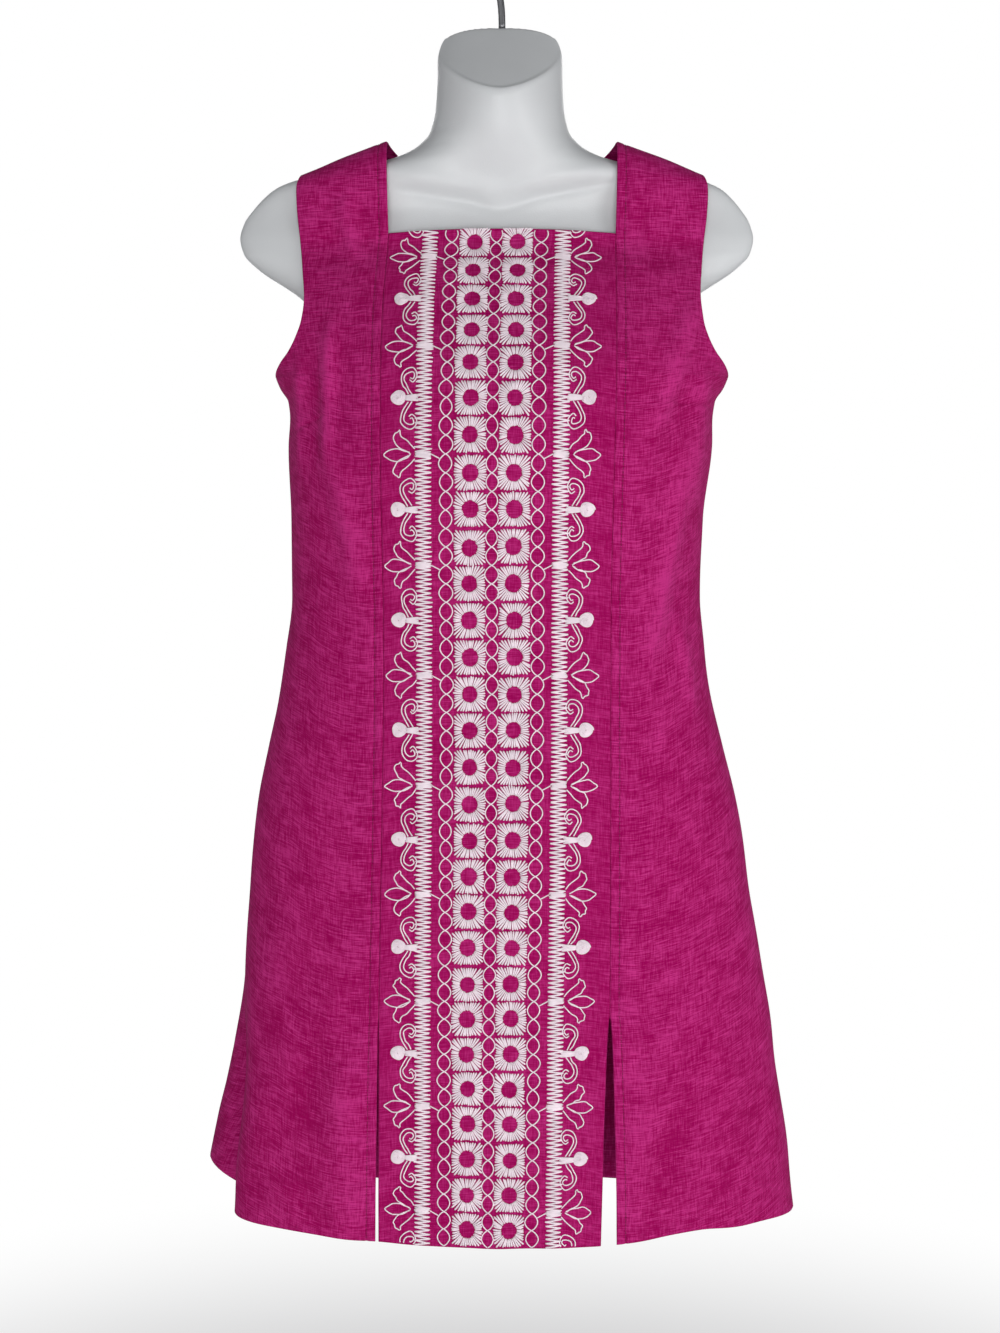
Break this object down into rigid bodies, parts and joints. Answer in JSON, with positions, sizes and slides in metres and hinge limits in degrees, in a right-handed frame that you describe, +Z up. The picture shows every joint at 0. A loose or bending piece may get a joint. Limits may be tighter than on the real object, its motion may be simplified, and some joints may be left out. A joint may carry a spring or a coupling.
{
  "type": "shift dress on a hanging torso form",
  "caption": "Sleeveless square-neck shift dress in slubbed linen with an embroidered centre panel and front slits, hanging on a limbless torso form with a wire hook.",
  "frame": {"origin": "inside top of the hook, where a rail bears", "axes": "+Z up, the front of the dress faces -Y, +X is the wearer's left"},
  "size_m": [0.5214, 0.2011, 1.1219],
  "materials": {
    "slub_linen": "matt slubbed plain weave, cross-dyed magenta",
    "embroidery_thread": "soft sheen off-white thread",
    "form_plastic": "satin moulded plastic",
    "hook_wire": "plated wire"
  },
  "bodies": {
    "root": {"front_panel": "slub_linen", "side_front_left": "slub_linen", "side_front_right": "slub_linen", "back_panel": "slub_linen", "torso_form": "form_plastic", "hook": "hook_wire"}
  },
  "joints": []
}
